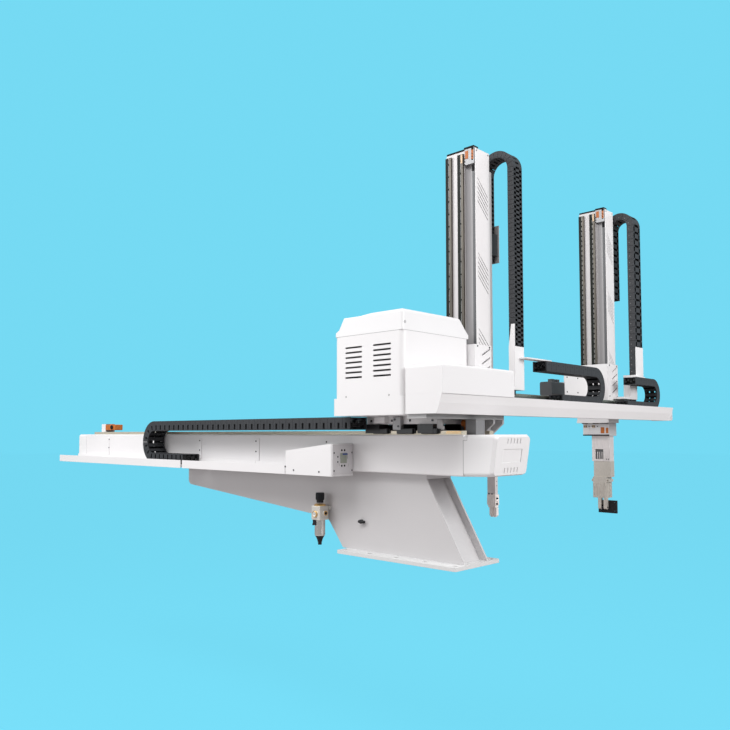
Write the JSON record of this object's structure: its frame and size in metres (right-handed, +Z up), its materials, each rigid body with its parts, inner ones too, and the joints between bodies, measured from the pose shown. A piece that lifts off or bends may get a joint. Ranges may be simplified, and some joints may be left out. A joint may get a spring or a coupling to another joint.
{
  "type": "injection moulding take-out robot",
  "caption": "Beam-mounted traverse robot that takes mouldings and runners out of a moulding machine, with telescopic vertical arms, a flip wrist and a runner gripper.",
  "frame": {"origin": "centre of the base plate's bottom face", "axes": "+Z up, +X along the traverse beam towards its fluted end cap, +Y along the crosswise beam away from the control box"},
  "size_m": [3.4028, 2.153, 1.7819],
  "materials": {
    "white_paint": "satin powder coat",
    "white_moulding": "semi-gloss moulded plastic",
    "white_cover": "satin white paint",
    "white_gearbox": "satin white paint",
    "arm_extrusion": "satin white paint on an extrusion",
    "rail_steel": "ground and oiled",
    "bearing_steel": "ground",
    "belt_rubber": "matte",
    "stop_plate": "satin",
    "orange_polyurethane": "satin",
    "panel_steel": "satin",
    "filter_metal": "satin die casting",
    "black_plastic": "matte",
    "bowl_plastic": "clear, smoky",
    "gauge_case": "satin",
    "nickel_brass": "nickel plated",
    "chain_plastic": "matte",
    "motor_black": "satin black",
    "bare_aluminium": "clear anodised, satin",
    "jaw_steel": "satin",
    "tool_plate_black": "black anodised"
  },
  "bodies": {
    "pedestal": {"base_plate": "white_paint", "side_plates": "white_paint", "web_plates": "white_paint", "top_flange": "white_paint", "traverse_beam": "white_paint", "right_end_cap": "white_moulding", "left_end_cap": "white_moulding", "traverse_rails": "rail_steel", "traverse_belt": "belt_rubber", "stop_brackets": "stop_plate", "stop_pads": "orange_polyurethane", "cable_trays": "white_paint", "tray_brackets": "white_paint", "terminal_box": "white_paint", "inlet_panel": "panel_steel", "filter_body": "filter_metal", "filter_bowl": "bowl_plastic", "pressure_gauge": "gauge_case", "air_fitting": "nickel_brass", "traverse_chain": "chain_plastic"},
    "regulator_knob": {"regulator_knob": "black_plastic"},
    "carriage": {"carriage_plate": "white_paint", "traverse_bearings": "bearing_steel", "traverse_drive": "motor_black", "control_box": "white_paint", "box_lid": "white_moulding", "servo_drives": "black_plastic", "crosswise_beam": "white_paint", "crosswise_rails": "rail_steel", "beam_cover": "white_paint", "near_cover": "white_paint", "beam_bracket": "white_paint", "runner_cross_chain": "chain_plastic", "product_cross_chain": "chain_plastic"},
    "runner_saddle": {"runner_saddle": "white_paint", "runner_bearings": "bearing_steel", "runner_gearbox": "white_gearbox", "runner_motor": "motor_black", "runner_lift_chain": "chain_plastic"},
    "runner_arm": {"runner_arm": "arm_extrusion", "runner_rails": "rail_steel", "runner_arm_ends": "bare_aluminium", "runner_arm_cover": "white_cover"},
    "runner_bar": {"runner_bar": "bare_aluminium", "gripper_body": "bare_aluminium"},
    "gripper_jaw_left": {"gripper_jaw_left": "jaw_steel"},
    "gripper_jaw_right": {"gripper_jaw_right": "jaw_steel"},
    "product_saddle": {"product_saddle": "white_paint", "product_bearings": "bearing_steel", "product_gearbox": "white_gearbox", "product_motor": "motor_black", "product_lift_chain": "chain_plastic"},
    "product_arm": {"product_arm": "arm_extrusion", "product_rails": "rail_steel", "product_arm_ends": "bare_aluminium", "product_arm_cover": "white_cover"},
    "product_column": {"product_column": "bare_aluminium", "wrist_body": "bare_aluminium"},
    "tool_plate": {"tool_plate": "tool_plate_black"}
  },
  "joints": [
    {"name": "traverse", "type": "slide", "parent": "pedestal", "child": "carriage", "axis": [-1, 0, 0], "range_m": [0, 2.1], "deforming": ["traverse_chain"]},
    {"name": "regulator_turn", "type": "hinge", "parent": "pedestal", "child": "regulator_knob", "pos_m": [-0.466, -0.1195, 0.23], "axis": [0, 0, 1], "range_deg": [-170, 170]},
    {"name": "runner_cross", "type": "slide", "parent": "carriage", "child": "runner_saddle", "axis": [0, 1, 0], "range_m": [0, 0.245], "deforming": ["runner_cross_chain"]},
    {"name": "product_cross", "type": "slide", "parent": "carriage", "child": "product_saddle", "axis": [0, 1, 0], "range_m": [-0.245, 0], "deforming": ["product_cross_chain"]},
    {"name": "runner_lift", "type": "slide", "parent": "runner_saddle", "child": "runner_arm", "axis": [0, 0, -1], "range_m": [0, 0.545], "deforming": ["runner_lift_chain"]},
    {"name": "runner_extend", "type": "slide", "parent": "runner_arm", "child": "runner_bar", "axis": [0, 0, -1], "range_m": [0, 0.545]},
    {"name": "jaw_left", "type": "slide", "parent": "runner_bar", "child": "gripper_jaw_left", "axis": [-1, 0, 0], "range_m": [0, 0.008]},
    {"name": "jaw_right", "type": "slide", "parent": "runner_bar", "child": "gripper_jaw_right", "axis": [1, 0, 0], "range_m": [0, 0.008]},
    {"name": "product_lift", "type": "slide", "parent": "product_saddle", "child": "product_arm", "axis": [0, 0, -1], "range_m": [0, 0.545], "deforming": ["product_lift_chain"]},
    {"name": "product_extend", "type": "slide", "parent": "product_arm", "child": "product_column", "axis": [0, 0, -1], "range_m": [0, 0.545]},
    {"name": "flip", "type": "hinge", "parent": "product_column", "child": "tool_plate", "pos_m": [0.153, 1.424, 0.122], "axis": [-1, 0, 0], "range_deg": [0, 90]}
  ],
  "couplings": [
    {"joint": "runner_extend", "follows": "runner_lift", "ratio": 1},
    {"joint": "product_extend", "follows": "product_lift", "ratio": 1},
    {"joint": "jaw_right", "follows": "jaw_left", "ratio": 1}
  ]
}
